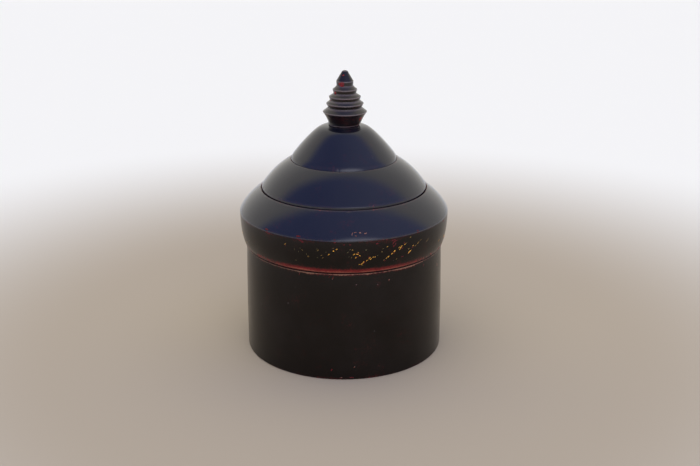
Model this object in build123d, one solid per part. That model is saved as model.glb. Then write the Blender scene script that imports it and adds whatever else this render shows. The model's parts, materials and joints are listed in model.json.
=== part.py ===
from build123d import *

import os
from math import hypot
from typing import NamedTuple

# A round lacquered box: a plain drum, and a lift-off lid in three domed tiers under a ringed finial.
# Sizes are in millimetres. +Z is up, the origin is the middle of the foot, on the surface that the
# box stands on, and the front faces -Y. Every piece but the finial's wedge is turned about Z.

# Fits
glue_gap = 0.1           # lacquer putty between two glued turnings
lid_clearance = 0.4      # between the mouth collar and the lid, so that the lid lifts off freely
open_joint = 0.6         # the groove left showing round the foot of the middle tier

# Body
mouth_radius = 75.6
body_height = 84.2
wall_thickness = 5.0     # at the rim
foot_flare = 1.2         # how far the foot stands out past the rim
wall_belly = 0.4         # how far the wall swells out between rim and foot
foot_ease = 0.8
rim_ease = 0.8           # worn outer edges of both rims, where the lid meets the body

# Bottom
base_thickness = 6.0
base_rebate = 2.5        # how far the board is let into the wall
foot_hoop_height = 4.0
foot_hoop_width = 6.0
foot_hoop_setback = 0.5  # the hoop stops this far above the table, so that the wall stands on its foot

# Mouth collar
collar_thickness = 2.6
collar_socket = 14.0     # how deep the collar is let in below the rim
collar_stand = 9.5       # how far it stands above the rim
collar_lead = 1.0        # rounding that leads the lid on

# Lid band
band_height = 25.0
lid_overhang = 0.8       # how far the lid's rim stands out past the body's
lid_flare = 3.8          # how far the shoulder stands out past the lid's rim
band_turn_height = 7.5   # where the band turns from its lean to nearly upright
band_waist = 0.2         # how far it still leans out from there to the shoulder

# Joints between the lid's turnings
seat_land = 3.0          # how much of a tier's foot rests on the piece below
spigot_thickness = 3.0
spigot_depth = 3.0       # how far a tier reaches down inside the piece below
spigot_end_gap = 0.5

# Lower tier
lower_face = 1.0         # upright face under the shoulder's edge
lower_shoulder_ease = 0.8
lower_width = 16.7       # from the shoulder in to the lip of the seat above
lower_rise = 18.2        # from the band up to that lip
lower_bow = 1.5          # how far the slope swells past a straight line
lower_lean = 2.5         # how far that swell sits towards the shoulder
lower_lip_ease = 0.4
middle_seat_depth = 2.0  # how far the middle tier is let into the lower one

# Middle tier
middle_face = 3.4
middle_edge_ease = 0.5
middle_width = 22.5
middle_rise = 23.8
middle_bow = 1.8
middle_lip_ease = 0.2
crown_seat_depth = 2.3

# Crown, the upper tier
crown_face = 3.5
crown_edge_ease = 1.2
crown_rise = 28.1
crown_top_radius = 17.4  # where the slope would meet the flat top
crown_bow = 1.0
crown_top_ease = 15.0
crown_thickness = 11.0   # at the top, which carries the finial
crown_ceiling_radius = 13.0
crown_ceiling_bow = 2.0

# Finial
cup_foot_radius = 11.7
cup_foot_ease = 0.5
cup_height = 10.1
cup_bow = 0.55           # how far its side is hollowed
rim_round = 0.4          # rounding of the rings' sharp rims
neck_round = 0.3
cove_bow = 0.1           # how far the top of a ring is hollowed
bud_radius = 6.4
bud_height = 7.6         # from its widest point to the tip
bud_edge_ease = 0.8
tip_radius = 2.6
tip_ease = 1.5
tip_crown = 0.3

# Finial rings, counted from the lowest. A spacing runs from one rim up to the next, and the last one
# up to the bud's widest point.
ring1_radius = 16.8
ring1_neck_radius = 12.6
ring1_neck_rise = 3.3
ring1_spacing = 6.3
ring2_radius = 14.2
ring2_neck_radius = 11.1
ring2_neck_rise = 2.4
ring2_spacing = 5.1
ring3_radius = 12.1
ring3_neck_radius = 8.4
ring3_neck_rise = 2.4
ring3_spacing = 5.4
ring4_radius = 9.3
ring4_neck_radius = 5.8
ring4_neck_rise = 2.8
ring4_spacing = 6.1

# Tenon and wedge that hold the finial
tenon_radius = 5.0
wedge_width = 9.0
wedge_height = 8.0
wedge_thickness = 2.0
wedge_point = 0.8


class Ring(NamedTuple):
    """One ring of the finial and the neck above it."""
    radius: float
    neck_radius: float
    neck_rise: float
    spacing: float


finial_rings = (
    Ring(ring1_radius, ring1_neck_radius, ring1_neck_rise, ring1_spacing),
    Ring(ring2_radius, ring2_neck_radius, ring2_neck_rise, ring2_spacing),
    Ring(ring3_radius, ring3_neck_radius, ring3_neck_rise, ring3_spacing),
    Ring(ring4_radius, ring4_neck_radius, ring4_neck_rise, ring4_spacing),
)

# Radii, from the bore outwards and from the shoulder inwards
bore_radius = mouth_radius - wall_thickness
foot_radius = mouth_radius + foot_flare
base_pocket_radius = bore_radius + base_rebate
collar_radius = bore_radius + collar_thickness
lid_bore_radius = collar_radius + lid_clearance
lid_rim_radius = mouth_radius + lid_overhang
shoulder_radius = lid_rim_radius + lid_flare
middle_seat_radius = shoulder_radius - lower_width
middle_foot_radius = middle_seat_radius - open_joint
crown_seat_radius = middle_foot_radius - middle_width
crown_foot_radius = crown_seat_radius - glue_gap
lower_spigot_radius = lid_bore_radius - glue_gap
middle_spigot_radius = middle_foot_radius - seat_land
crown_spigot_radius = crown_foot_radius - seat_land

# Heights, from the table up
base_bottom = foot_hoop_setback + foot_hoop_height
base_top = base_bottom + base_thickness
collar_bottom = body_height - collar_socket
collar_top = body_height + collar_stand
band_top = body_height + band_height
lower_lip = band_top + lower_rise
middle_seat = lower_lip - middle_seat_depth
middle_lip = middle_seat + middle_rise
crown_seat = middle_lip - crown_seat_depth
crown_top = crown_seat + crown_rise
crown_ceiling = crown_top - crown_thickness


class Corner(NamedTuple):
    """A corner of a turned outline. The stretch to the next corner is straight, or bends past a knee."""
    radius: float
    height: float
    ease: float = 0.0    # rounding of the corner
    knee: tuple | None = None


def swell(start, end, bow, lean=0.0):
    """The knee of a curve that swells to the right of its run by bow, most at lean before its middle."""
    across = end[0] - start[0]
    up = end[1] - start[1]
    length = hypot(across, up)
    back = 0.5 - lean / length
    pull = 2 * bow / length
    return start[0] + back * across + pull * up, start[1] + back * up - pull * across


def stretch(start, end):
    """The line or curve from one corner to the next."""
    if start.knee is None:
        return Line(start[:2], end[:2])
    return Bezier(start[:2], start.knee, end[:2])


def turned(corners):
    """Spin an outline about Z. Its corners run anticlockwise, seen with the radius to the right."""
    ends = corners[1:] + corners[:1]
    outline = make_face([stretch(start, end) for start, end in zip(corners, ends)]).faces()[0]
    for corner in corners:
        if corner.ease:
            nearest = outline.vertices().sort_by_distance(Vector(*corner[:2]))[0]
            outline = outline.fillet_2d(corner.ease, [nearest])
    return revolve(Plane.XZ * outline, Axis.Z)


def body_wall():
    """The drum, rebated below for the base and above for the mouth collar."""
    foot = (foot_radius, 0)
    rim = (mouth_radius, body_height)
    socket_radius = collar_radius + glue_gap
    return turned([
        Corner(*foot, foot_ease, swell(foot, rim, wall_belly)),
        Corner(*rim, rim_ease),
        Corner(socket_radius, body_height),
        Corner(socket_radius, collar_bottom),
        Corner(bore_radius, collar_bottom),
        Corner(bore_radius, base_top),
        Corner(base_pocket_radius, base_top),
        Corner(base_pocket_radius, 0),
    ])


def base_disc():
    """The bottom board, pushed up against its rebate."""
    edge = base_pocket_radius - glue_gap
    return turned([
        Corner(0, base_bottom),
        Corner(edge, base_bottom),
        Corner(edge, base_top),
        Corner(0, base_top),
    ])


def foot_hoop():
    """The hoop that holds the board up, just clear of the table."""
    outer = base_pocket_radius - glue_gap
    inner = outer - foot_hoop_width
    return turned([
        Corner(inner, foot_hoop_setback),
        Corner(outer, foot_hoop_setback),
        Corner(outer, base_bottom),
        Corner(inner, base_bottom),
    ])


def mouth_collar():
    """The thin ring that stands up out of the mouth and keeps the lid in place."""
    return turned([
        Corner(bore_radius, collar_bottom),
        Corner(collar_radius, collar_bottom),
        Corner(collar_radius, collar_top, collar_lead),
        Corner(bore_radius, collar_top, collar_lead / 2),
    ])


def lid_band():
    """The lid's upright side: it leans out from the rim and turns upright towards the shoulder."""
    turn = (shoulder_radius - band_waist, body_height + band_turn_height)
    return turned([
        Corner(lid_bore_radius, body_height),
        Corner(lid_rim_radius, body_height, rim_ease, turn),
        Corner(shoulder_radius, band_top),
        Corner(lid_bore_radius, band_top),
    ])


def tier_ring(brow, lip, seat, spigot_radius, next_seat, next_spigot_radius):
    """A ring that stands on the piece below, reaches down inside it, and seats the piece above."""
    hollow = spigot_radius - spigot_thickness
    bore = next_spigot_radius + glue_gap
    return turned([
        Corner(hollow, seat - spigot_depth),
        Corner(spigot_radius, seat - spigot_depth),
        Corner(spigot_radius, seat),
        Corner(brow.radius, seat),
        brow,
        lip,
        Corner(lip.radius, next_seat),
        Corner(bore, next_seat),
        Corner(bore, next_seat - spigot_depth - spigot_end_gap),
        Corner(hollow, seat),
    ])


def lid_lower_tier():
    """The shoulder: it swells most near its edge, and has an open joint round the tier above."""
    brow = (shoulder_radius, band_top + lower_face)
    lip = (middle_seat_radius, lower_lip)
    return tier_ring(
        Corner(*brow, lower_shoulder_ease, swell(brow, lip, lower_bow, lower_lean)),
        Corner(*lip, lower_lip_ease),
        band_top,
        lower_spigot_radius,
        middle_seat,
        middle_spigot_radius,
    )


def lid_middle_tier():
    """The ring between the ledges."""
    brow = (middle_foot_radius, middle_seat + middle_face)
    lip = (crown_seat_radius, middle_lip)
    return tier_ring(
        Corner(*brow, middle_edge_ease, swell(brow, lip, middle_bow)),
        Corner(*lip, middle_lip_ease),
        middle_seat,
        middle_spigot_radius,
        crown_seat,
        crown_spigot_radius,
    )


def lid_upper_tier():
    """The crown, hollowed below and bored through its flat top for the finial's tenon."""
    brow = (crown_foot_radius, crown_seat + crown_face)
    top = (crown_top_radius, crown_top)
    hollow = crown_spigot_radius - spigot_thickness
    ceiling = (crown_ceiling_radius, crown_ceiling)
    eaves = (hollow, crown_seat)
    bore = tenon_radius + glue_gap
    return turned([
        Corner(hollow, crown_seat - spigot_depth),
        Corner(crown_spigot_radius, crown_seat - spigot_depth),
        Corner(crown_spigot_radius, crown_seat),
        Corner(crown_foot_radius, crown_seat),
        Corner(*brow, crown_edge_ease, swell(brow, top, crown_bow)),
        Corner(*top, crown_top_ease),
        Corner(bore, crown_top),
        Corner(bore, crown_ceiling),
        Corner(*ceiling, 0, swell(ceiling, eaves, -crown_ceiling_bow)),
        Corner(*eaves),
    ])


def wedge_shape(slack, width):
    """The wedge's taper, widest at the ceiling of the crown, grown by slack for the slot it fills."""
    foot = wedge_thickness / 2 + slack
    point = wedge_point / 2 + slack
    end = crown_ceiling + wedge_height + slack
    taper = Polyline((-foot, crown_ceiling), (foot, crown_ceiling), (point, end), (-point, end), close=True)
    return extrude(Plane.XZ * make_face(taper), width / 2, both=True)


def finial():
    """Cup, rings and bud in one turning, with a tenon below that is slotted for the wedge."""
    cup_foot = (cup_foot_radius, crown_top)
    first_rim = (ring1_radius, crown_top + cup_height)
    corners = [
        Corner(0, crown_ceiling),
        Corner(tenon_radius, crown_ceiling),
        Corner(tenon_radius, crown_top),
        Corner(*cup_foot, cup_foot_ease, swell(cup_foot, first_rim, -cup_bow)),
    ]
    height = first_rim[1]
    for ring in finial_rings:
        rim = (ring.radius, height)
        neck = (ring.neck_radius, height + ring.neck_rise)
        corners.append(Corner(*rim, rim_round, swell(rim, neck, -cove_bow)))
        corners.append(Corner(*neck, neck_round))
        height += ring.spacing
    tip = height + bud_height
    corners.append(Corner(bud_radius, height, bud_edge_ease))
    corners.append(Corner(tip_radius, tip, tip_ease))
    corners.append(Corner(0, tip + tip_crown))
    slot = wedge_shape(glue_gap, 2 * (tenon_radius + glue_gap))
    return turned(corners) - slot


def finial_wedge():
    """The wedge driven up into the tenon from inside the lid."""
    return wedge_shape(0, wedge_width)


pieces = {
    "body_wall": body_wall(),
    "base_disc": base_disc(),
    "foot_hoop": foot_hoop(),
    "mouth_collar": mouth_collar(),
    "lid_band": lid_band(),
    "lid_lower_tier": lid_lower_tier(),
    "lid_middle_tier": lid_middle_tier(),
    "lid_upper_tier": lid_upper_tier(),
    "finial": finial(),
    "finial_wedge": finial_wedge(),
}

os.makedirs("parts", exist_ok=True)
for name, piece in pieces.items():
    export_step(piece, f"parts/{name}.step")
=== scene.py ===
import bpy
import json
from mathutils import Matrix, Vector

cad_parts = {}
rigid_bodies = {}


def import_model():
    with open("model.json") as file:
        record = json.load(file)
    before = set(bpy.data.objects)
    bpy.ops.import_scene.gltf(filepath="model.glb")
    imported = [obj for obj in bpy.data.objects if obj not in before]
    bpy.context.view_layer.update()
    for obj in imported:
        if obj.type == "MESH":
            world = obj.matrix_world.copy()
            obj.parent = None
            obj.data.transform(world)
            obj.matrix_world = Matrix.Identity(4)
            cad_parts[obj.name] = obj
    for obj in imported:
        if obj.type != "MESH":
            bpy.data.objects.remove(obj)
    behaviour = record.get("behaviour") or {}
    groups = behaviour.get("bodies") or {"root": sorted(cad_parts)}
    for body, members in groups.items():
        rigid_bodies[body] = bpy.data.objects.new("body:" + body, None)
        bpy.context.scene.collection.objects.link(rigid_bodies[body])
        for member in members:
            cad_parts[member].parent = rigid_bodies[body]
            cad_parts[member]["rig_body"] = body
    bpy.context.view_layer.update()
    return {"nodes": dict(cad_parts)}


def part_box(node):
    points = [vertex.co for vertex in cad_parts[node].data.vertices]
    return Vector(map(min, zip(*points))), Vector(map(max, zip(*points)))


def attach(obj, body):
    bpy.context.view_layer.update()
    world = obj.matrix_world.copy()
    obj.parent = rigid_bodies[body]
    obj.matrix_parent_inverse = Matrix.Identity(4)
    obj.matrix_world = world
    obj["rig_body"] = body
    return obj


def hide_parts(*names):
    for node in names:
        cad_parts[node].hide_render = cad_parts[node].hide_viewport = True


bl_info = {
    "name": "Tiered Lacquer Box",
    "version": (1, 0, 0),
    "blender": (4, 5, 0),
    "location": "3D View > Sidebar > Lacquer Box",
    "description": "Finishes the turned pieces of a round lacquer box with a tiered lid",
    "category": "Object",
}

import json
import math
import random
from collections import defaultdict
from typing import NamedTuple

import bmesh
import bpy
import numpy as np
from bpy.props import FloatProperty, FloatVectorProperty, IntProperty, PointerProperty
from mathutils import Vector, noise

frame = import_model()
crown_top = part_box("lid_upper_tier")[1][2]
rim_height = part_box("body_wall")[1][2]

MM = 0.001
SAME_POINT = 1e-6                  # two points of the frame this close are one
SEAM_REACH = 0.9 * MM              # how far from a seam its edges are rounded away
SEAM_DEPTH = 0.85 * MM             # how deep they are rounded there
NECK_REACH = 1.5 * MM              # how far the rounding of the finial's necks spreads
BROW_REACH = 2.2 * MM              # how far the rounding of a tier's worn edge spreads
HANDLED_SIDE = math.radians(8)     # the side that hands have worn most, from the front
BAND_SIDE = math.radians(0)        # the side on which the band's rim is worn most
DRUM_SIDE = math.radians(14)       # the side on which the drum's rim is worn most
TRACE_SEED = 7                     # scatters the gold at the sides and the back
FINIAL_SHIFT = 0.85 * MM           # how far right of the axis the finial was set


# What a user can set

def colour_setting(name, description, default, most=1):
    """A colour without transparency."""
    return FloatVectorProperty(name=name, description=description, subtype="COLOR", size=4,
                               default=(*default, 1), min=0, max=most)


def length_setting(name, description, default):
    """A length in metres."""
    return FloatProperty(name=name, description=description, default=default, subtype="DISTANCE")


def angle_setting(name, description, degrees):
    """An angle, whose default is given in degrees."""
    return FloatProperty(name=name, description=description, default=math.radians(degrees),
                         subtype="ANGLE")


class TurningSettings(bpy.types.PropertyGroup):
    """How finely the turned pieces are made, and how far hands and years have shifted them."""
    sides: IntProperty(
        name="Sides", description="Divisions round the axis of a turned piece", default=400, min=48)
    fine_step: length_setting(
        "Fine step", "Spacing of the rings of faces at an edge", 0.3 * MM)
    coarse_step: length_setting(
        "Coarse step", "Spacing of the rings of faces on a plain stretch", 3.0 * MM)
    edge_reach: length_setting(
        "Edge reach", "How far from an edge its wear spreads", 1.5 * MM)
    unevenness: length_setting(
        "Unevenness", "How deep the hollows left by hand polishing are", 0.10 * MM)
    nick_depth: length_setting(
        "Nick depth", "How deep the deepest nick in an edge is", 0.35 * MM)
    leaf_height: length_setting(
        "Leaf height", "How far a trace of gold or a chip stands proud", 0.04 * MM)


class LacquerSettings(bpy.types.PropertyGroup):
    """Colours of the layers, from the wood outwards."""
    wood: colour_setting(
        "Wood", "Bare wood of the wedge and of the drum's rim", (0.32, 0.17, 0.095))
    ground: colour_setting(
        "Ground", "Clay ground that shows where an edge is rubbed through", (0.33, 0.108, 0.060))
    red: colour_setting("Red coat", "Red lacquer, inside and under the black", (0.19, 0.010, 0.011))
    black: colour_setting(
        "Black coat", "Black lacquer of the drum, band and finial", (0.0034, 0.0022, 0.0018))
    blue_black: colour_setting(
        "Blue black coat", "Black lacquer of the lid's tiers", (0.0038, 0.0042, 0.0095))
    gold: colour_setting("Gold", "Gold leaf left on the band", (0.96, 0.46, 0.05))
    faint_gold: colour_setting(
        "Faint gold", "Gold that is all but rubbed away", (0.095, 0.078, 0.022))
    # The dust colour is also that of the highlight painted on worn edges and in hollows
    dust: colour_setting("Dust", "Dust specks and scuffed crests of edges", (0.18, 0.145, 0.135))


class StageSettings(bpy.types.PropertyGroup):
    """Floor, light and camera."""
    floor: colour_setting("Floor", "Colour of the floor round the box", (0.475, 0.41, 0.305))
    far_floor: colour_setting("Far floor", "Colour that the floor fades to", (0.965, 0.97, 0.875))
    back_light: colour_setting("Back light", "Light from behind the box", (0.98, 0.95, 0.90), 2)
    shade_light: colour_setting(
        "Shade light", "Light from the front on the left and overhead", (0.30, 0.37, 0.80), 2)
    open_light: colour_setting(
        "Open light", "Light from the front on the right", (0.50, 0.57, 0.99), 2)
    glow: colour_setting("Glow", "What the soft bright patch in front adds", (1.7, 1.7, 1.8), 4)
    glow_turn: angle_setting("Glow turn", "How far right of the front the bright patch is", 14)
    glow_rise: angle_setting("Glow rise", "How high the bright patch is", 13)
    glow_spread: angle_setting(
        "Glow spread", "How far from its middle the bright patch fades out", 33)
    key_strength: FloatProperty(
        name="Key strength", description="Strength of the wide warm key light", default=0.92)
    lens: FloatProperty(
        name="Lens", description="Focal length of the camera", default=51.43, unit="CAMERA")
    camera_tilt: angle_setting("Camera tilt", "How far the camera looks down", 19.1)
    camera_place: FloatVectorProperty(
        name="Camera place", description="Where the camera stands", subtype="TRANSLATION",
        size=3, default=(4.7 * MM, -739.2 * MM, 344.2 * MM))


# Turned shapes

def turned_outline(node):
    """The outline that a node is turned to, cut from the frame by a half plane through the axis.
    Its points are (radius, height), in order, with the solid on the left."""
    cutter = bmesh.new()
    cutter.from_mesh(frame["nodes"][node].data)
    bmesh.ops.remove_doubles(cutter, verts=cutter.verts, dist=SAME_POINT)
    cut = bmesh.ops.bisect_plane(
        cutter, geom=[*cutter.verts, *cutter.edges, *cutter.faces], dist=SAME_POINT / 10,
        plane_co=(0, 0, 0), plane_no=(0, 1, 0))
    beside = defaultdict(list)
    for part in cut["geom_cut"]:
        if isinstance(part, bmesh.types.BMEdge) and sum(end.co.x for end in part.verts) > 0:
            start, end = part.verts
            beside[start].append(end)
            beside[end].append(start)
    ends = [point for point, others in beside.items() if len(others) == 1]
    here = min(ends or beside, key=lambda point: point.co.z)
    walk = [here]
    while True:
        onward = [point for point in beside[here] if point not in walk]
        if not onward:
            break
        here = onward[0]
        walk.append(here)
    outline = [Vector((point.co.x, point.co.z)) for point in walk]
    cutter.free()
    if turning_round(outline) < 0:
        outline.reverse()
    return without_straight_points(outline)


def turning_round(outline):
    """Twice the area inside, positive if the outline runs anticlockwise."""
    return sum(here.cross(onward) for here, onward in zip(outline, outline[1:] + outline[:1]))


def turn_at(before, here, onward):
    """The turn of an outline at a point, in radians, positive where it sticks out."""
    arriving = here - before
    leaving = onward - here
    return math.atan2(arriving.cross(leaving), arriving.dot(leaving))


def neighbours(outline):
    """Each point of a closed outline with the ones before and after it."""
    return zip(outline[-1:] + outline[:-1], outline, outline[1:] + outline[:1])


def without_straight_points(outline):
    """The outline without the points at which it doesn't turn."""
    least_turn = math.radians(0.05)
    return [here for before, here, onward in neighbours(outline)
            if abs(turn_at(before, here, onward)) > least_turn]


def smooth_point(before, start, end, after, share):
    """A point between start and end on a curve that also follows their neighbours, if they bend
    gently. At a corner the curve leaves along the straight line."""
    gentle = math.radians(16)
    span = end - start
    leaving = arriving = span
    if abs(turn_at(before, start, end)) < gentle:
        leaving = (end - before).normalized() * span.length
    if abs(turn_at(start, end, after)) < gentle:
        arriving = (after - start).normalized() * span.length
    rest = 1 - share
    return (start * (1 + 2 * share) * rest * rest + leaving * share * rest * rest
            + end * (3 - 2 * share) * share * share - arriving * rest * share * share)


def refined(outline, turning):
    """The outline with more points, close together near corners and far apart elsewhere."""
    corner_turn = math.radians(8)
    widening = 0.35                # how fast the spacing grows away from a corner
    corners = [here for before, here, onward in neighbours(outline)
               if abs(turn_at(before, here, onward)) > corner_turn]
    points = []
    count = len(outline)
    for i, start in enumerate(outline):
        before = outline[i - 1]
        end = outline[(i + 1) % count]
        after = outline[(i + 2) % count]
        length = (end - start).length
        place = 0.0
        while place < length:
            share = place / length
            points.append(smooth_point(before, start, end, after, share))
            nearest = min(((points[-1] - corner).length for corner in corners), default=1)
            step = min(turning.fine_step + nearest * widening, turning.coarse_step)
            left = length - place
            place += left / max(1, round(left / step))
    return points


def edge_exposure(outline, reach):
    """For each point, from 0 to 1, how much an edge sticks out within reach of it, and how much a
    crevice runs in."""
    lengths = [(onward - here).length for _, here, onward in neighbours(outline)]
    places = np.concatenate([[0], np.cumsum(lengths)])
    total = places[-1]
    turns = np.array([turn_at(*three) if three[1].x > SAME_POINT else 0
                      for three in neighbours(outline)])
    apart = np.abs(places[:-1, None] - places[None, :-1])
    apart = np.minimum(apart, total - apart)
    gathered = (np.clip(1 - apart / reach, 0, 1) * turns[None, :]).sum(1)
    full = math.radians(55)
    return np.clip(gathered / full, 0, 1).tolist(), np.clip(-gathered / full, 0, 1).tolist()


def flecks(point, size, seed):
    """Smooth noise about 0, with features of about that size."""
    return noise.noise(point / size + Vector((seed, 2.7 * seed, 0.3 * seed)))


def unevenness_at(point):
    """From 0 to 1, how far hand polishing has hollowed the surface there."""
    slow = flecks(point, 45 * MM, 3.1)
    quick = flecks(point, 16 * MM, 7.7)
    return min(1, max(0, 0.5 + 0.9 * slow + 0.35 * quick))


def nick_at(point):
    """From 0 to 1, how deep a nick in an exposed edge is there."""
    spared = 0.42                  # keeps most of an edge whole
    small = flecks(point, 1.9 * MM, 11.3)
    large = flecks(point, 5.5 * MM, 5.9)
    return min(1, max(0, 1.7 * small + 1.1 * large - spared))


class WornEdge:
    """A rubbed line round a piece: the height of the edge, how far from it the wear is strongest,
    how far the wear spreads from there, and its strength."""
    def __init__(self, height, crest, reach, strength):
        self.height = height * MM
        self.crest = crest * MM
        self.reach = reach * MM
        self.strength = strength

    def at(self, angle, height):
        """How worn the line leaves a point at that height, most on the side that hands reach."""
        usual, more = 0.82, 0.18   # the wear on average, and what it gains or loses by side
        away = abs(abs(height - self.height) - self.crest)
        handled = usual + more * math.cos(angle - HANDLED_SIDE)
        return self.strength * handled * max(0, 1 - away / self.reach)


def set_aside(shift, height):
    """How far right a piece that was set off the axis stands, at a height above the crown."""
    eased_in = 3 * MM
    return shift * min(1, max(0, height - crown_top) / eased_in)


def softened(outline, shares, rounds):
    """The outline with each point drawn towards the middle of its neighbours by its share."""
    for _ in range(rounds):
        outline = [here.lerp((before + onward) / 2, share)
                   for (before, here, onward), share in zip(neighbours(outline), shares)]
    return outline


def facing(here, onward):
    """The direction that a stretch of an outline faces."""
    ahead = (onward - here).normalized()
    return Vector((ahead.y, -ahead.x))


def necks_softened(outline):
    """The finial's outline with the hollows between its rings rounded."""
    rounds = 10
    lowest = crown_top + NECK_REACH
    _, hollow = edge_exposure(outline, NECK_REACH)
    shares = [share if point.y > lowest else 0 for point, share in zip(outline, hollow)]
    return softened(outline, shares, rounds)


def as_worn(point):
    """A point of the finial's outline as the years have left it: the neck under the bud is fuller
    than it was turned, and the bud is slimmer the higher it goes."""
    ring_height = 203.3 * MM       # the edge of the uppermost ring
    neck_height = 204.8 * MM
    bud_height = 207.5 * MM        # where the bud is widest
    fuller = 0.06
    bud_width = 1.03
    tapering = 0.034               # how much narrower the bud gets by each millimetre
    if point.y < bud_height:
        filled = min(1, max(0, (point.y - ring_height) / (neck_height - ring_height)))
        width = 1 + fuller * filled
    else:
        width = bud_width - tapering * (point.y - bud_height) / MM
    return Vector((point.x * width, point.y))


def edges_softened(outline, inner, rounds):
    """A tier's outline with the edges that show rounded by wear."""
    bulge, _ = edge_exposure(outline, BROW_REACH)
    shares = [0 if inner[i] or inner[i - 1] else share for i, share in enumerate(bulge)]
    return softened(outline, shares, rounds)


def scene_object(name, made, materials=()):
    """An object of the scene from a finished bmesh."""
    mesh = bpy.data.meshes.new(name)
    made.to_mesh(mesh)
    made.free()
    for material in materials:
        mesh.materials.append(material)
    piece = bpy.data.objects.new(name, mesh)
    bpy.context.scene.collection.objects.link(piece)
    return piece


def turned_piece(name, node, materials, inner_face, outline=None, exposed=1.0, worn=(), seams=(),
                 sides=None, edge_reach=None, shift=0.0, rounds=0):
    """A fine turned mesh on a node's own outline. inner_face says, from a face's outward direction,
    whether it takes the second material. exposed scales the wear of the edges that stick out, worn
    adds more, and seams are the heights where the piece rounds away from a neighbour. rounds says
    how often its outer edges are softened. Only the finial is shifted, and it has its necks
    softened."""
    turning = bpy.context.scene.lacquer_box_turning
    nicked = 0.05                  # the least exposure at which an edge has nicks
    crease = math.radians(50)
    outline = refined(outline or turned_outline(node), turning)
    edge, crevice = edge_exposure(outline, edge_reach or turning.edge_reach)
    inner = [inner_face(facing(here, onward)) for _, here, onward in neighbours(outline)]
    if shift:
        _, crevice = edge_exposure(outline, NECK_REACH)
        outline = necks_softened(outline)
    outline = edges_softened(outline, inner, rounds)
    faces_out = [(facing(before, here) + facing(here, onward)).normalized()
                 for before, here, onward in neighbours(outline)]
    rounded = [max([0] + [1 - abs(height - seam) / SEAM_REACH for seam in seams])
               for _, height in outline]
    count = len(outline)
    sides = sides or turning.sides
    made = bmesh.new()
    edge_layer = made.verts.layers.float.new("edge_wear")
    crevice_layer = made.verts.layers.float.new("crevice")
    columns = []
    for side in range(sides):
        angle = math.tau * side / sides
        across = math.sin(angle)
        along = -math.cos(angle)
        column = []
        for i, (radius, height) in enumerate(outline):
            if radius < SAME_POINT and columns:
                column.append(columns[0][i])
                continue
            place = Vector((radius * across, radius * along, height))
            sunk = 0
            wear = exposed * edge[i]
            if not (inner[i] or inner[i - 1]):
                wear = max([wear] + [line.at(angle, height) for line in worn])
                sunk = turning.unevenness * unevenness_at(place) + SEAM_DEPTH * rounded[i] ** 2
                if edge[i] > nicked:
                    sunk += turning.nick_depth * exposed * edge[i] * nick_at(place)
            out = faces_out[i]
            place -= sunk * Vector((out.x * across, out.x * along, out.y))
            place.x += set_aside(shift, height)
            corner = made.verts.new(place)
            corner[edge_layer] = wear
            # crevice is high in hollows and at seams, where the lacquer is painted with shade
            corner[crevice_layer] = max(crevice[i], rounded[i])
            column.append(corner)
        columns.append(column)
    for side, column in enumerate(columns):
        onward = columns[(side + 1) % sides]
        for i in range(count):
            above = (i + 1) % count
            corners = list(dict.fromkeys((column[i], onward[i], onward[above], column[above])))
            if len(corners) > 2:
                face = made.faces.new(corners)
                face.smooth = True
                face.material_index = int(inner[i])
    piece = scene_object(name, made, materials)
    piece.data.set_sharp_from_angle(angle=crease)
    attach(piece, frame["nodes"][node]["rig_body"])
    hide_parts(node)
    return piece


def cut_slot(piece, roof_corner, foot_corner):
    """Cuts a wedge-shaped slot through a piece, along the box's own Y axis. The corners are
    (half width, height)."""
    below = 1 * MM
    reach = 20 * MM
    widening = (foot_corner - roof_corner) / (roof_corner.y - foot_corner.y)
    past_foot = foot_corner + below * widening
    made = bmesh.new()
    bmesh.ops.create_cube(made, size=2)
    for corner in made.verts:
        end = roof_corner if corner.co.z > 0 else past_foot
        corner.co = Vector((corner.co.x * end.x, corner.co.y * reach, end.y))
    cutter = scene_object("slot_cutter", made)
    cut = piece.modifiers.new("slot", "BOOLEAN")
    cut.operation = "DIFFERENCE"
    cut.object = cutter
    seen = piece.evaluated_get(bpy.context.evaluated_depsgraph_get())
    finished = bpy.data.meshes.new_from_object(seen)
    piece.modifiers.clear()
    piece.data = finished
    bpy.data.objects.remove(cutter)


# Marks on the outside

class Mark:
    """A small mark: the middle's angle from the front in degrees and its height, its length and its
    width in millimetres, the degrees by which it rises to the right, and how much gold is left."""
    def __init__(self, angle, height, length, width, rise=0.0, leaf=1.0):
        self.angle = math.radians(angle)
        self.height = height * MM
        self.length = length * MM
        self.width = width * MM
        self.rise = math.radians(rise)
        self.leaf = leaf


def mark_list(*rows):
    """Marks, from rows of what each Mark takes, in that order."""
    return [Mark(*row) for row in rows]


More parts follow.
